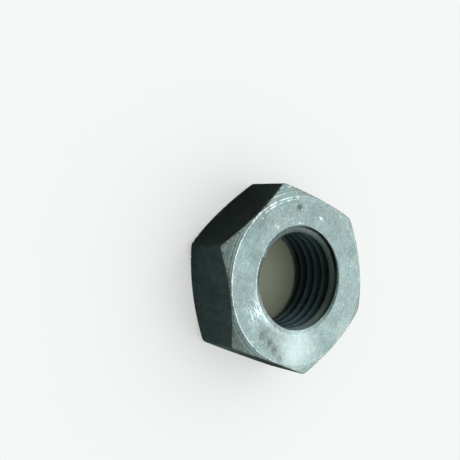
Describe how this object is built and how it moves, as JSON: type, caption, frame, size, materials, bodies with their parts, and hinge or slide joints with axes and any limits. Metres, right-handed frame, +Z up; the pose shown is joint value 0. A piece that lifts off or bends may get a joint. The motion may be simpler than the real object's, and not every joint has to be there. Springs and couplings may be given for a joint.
{
  "type": "hex nut",
  "caption": "Thin hexagon jam nut in blackened steel, chamfered on both faces, with a fine right-hand thread and a countersink at each mouth of the bore.",
  "frame": {"origin": "centre of the lower bearing face, on the thread axis", "axes": "+Z up along the thread axis, +X square to one wrench flat, +Y towards a corner"},
  "size_m": [0.019, 0.0218, 0.0074],
  "materials": {
    "black_oxide_steel": "black oxide over machined steel, semi-gloss, bearing faces and edges burnished lighter"
  },
  "bodies": {
    "root": {"hex_nut": "black_oxide_steel"}
  },
  "joints": []
}
